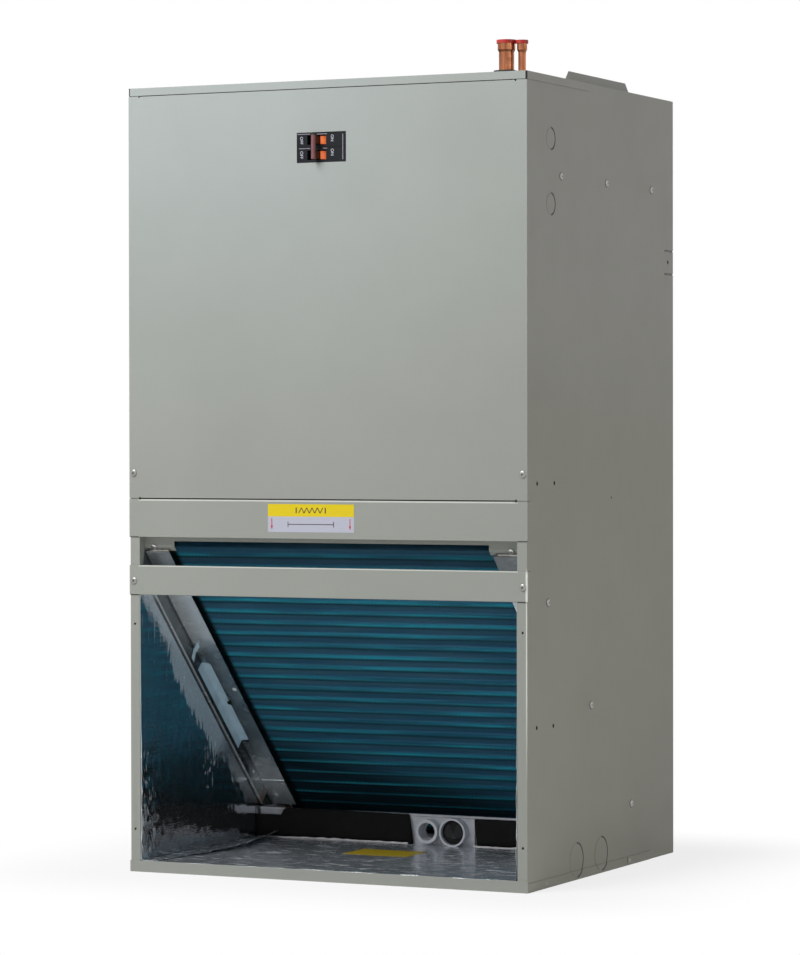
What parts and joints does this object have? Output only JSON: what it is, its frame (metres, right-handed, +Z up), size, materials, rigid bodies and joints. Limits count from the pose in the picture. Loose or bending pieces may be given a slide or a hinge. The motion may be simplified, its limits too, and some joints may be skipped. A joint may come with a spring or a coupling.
{
  "type": "air handler",
  "caption": "Upright front-return air handler: slanted coil, direct-drive blower and electric heat in a painted sheet-steel cabinet.",
  "frame": {"origin": "middle of the bounding box's footprint, on the floor under the base pan", "axes": "+X to the unit's right as seen from the front, +Y towards the back, +Z up"},
  "size_m": [0.559, 0.503, 1.051],
  "materials": {
    "paint": "satin grey-green enamel",
    "galvanised": "bright galvanised",
    "foil": "crinkled foil facing with scrim",
    "coated_fins": "blue hydrophilic coating",
    "copper": "bright drawn copper",
    "brass": "machined",
    "red_plastic": "soft moulded",
    "rubber": "matt",
    "white_plastic": "moulded",
    "foam": "closed-cell foam",
    "steel": "ground",
    "motor_black": "black enamel",
    "element_sheath": "heat-tinted sheath",
    "core_steel": "varnished laminations",
    "black_plastic": "moulded",
    "brown_plastic": "moulded",
    "orange_plastic": "moulded"
  },
  "bodies": {
    "cabinet": {"left_side_panel": "paint", "right_side_panel": "paint", "back_panel": "paint", "top_panel": "paint", "base_pan": "paint", "upper_front_panel": "paint", "filter_strip_panel": "paint", "filter_retainer_bar": "paint", "blower_deck": "galvanised", "plenum_partition": "galvanised", "left_liner": "foil", "right_liner": "foil", "back_liner": "foil", "floor_liner": "foil", "coil_front_rail": "paint", "left_filter_rail": "galvanised", "right_filter_rail": "galvanised", "coil_fins": "coated_fins", "coil_bends": "copper", "left_coil_plate": "galvanised", "right_coil_plate": "galvanised", "suction_header": "copper", "distributor": "brass", "feeder_tubes": "copper", "expansion_valve": "brass", "suction_line": "copper", "liquid_line": "copper", "suction_cap": "red_plastic", "liquid_cap": "red_plastic", "suction_grommet": "rubber", "liquid_grommet": "rubber", "drain_pan": "white_plastic", "pan_foam": "foam", "drain_fitting": "white_plastic", "blower_wrap": "galvanised", "blower_side_left": "galvanised", "blower_side_right": "galvanised", "blower_motor": "motor_black", "motor_mount": "galvanised", "run_capacitor": "steel", "heater_plate": "galvanised", "heater_frame": "galvanised", "heater_elements": "element_sheath", "control_tray": "galvanised", "transformer": "core_steel", "fan_relay": "black_plastic", "terminal_block": "black_plastic", "breaker_body": "black_plastic"},
    "blower_rotor": {"blower_wheel": "galvanised", "wheel_disc": "galvanised", "motor_shaft": "steel"},
    "breaker_lever": {"breaker_handles": "brown_plastic", "breaker_flags": "orange_plastic"}
  },
  "joints": [
    {"name": "blower_wheel_spin", "type": "hinge", "parent": "cabinet", "child": "blower_rotor", "pos_m": [0, -0.0605, 0.69], "axis": [1, 0, 0], "continuous": true},
    {"name": "breaker_toggle", "type": "hinge", "parent": "cabinet", "child": "breaker_lever", "pos_m": [-0.009, -0.2249, 0.9235], "axis": [0, 0, 1], "range_deg": [-25, 25]}
  ]
}
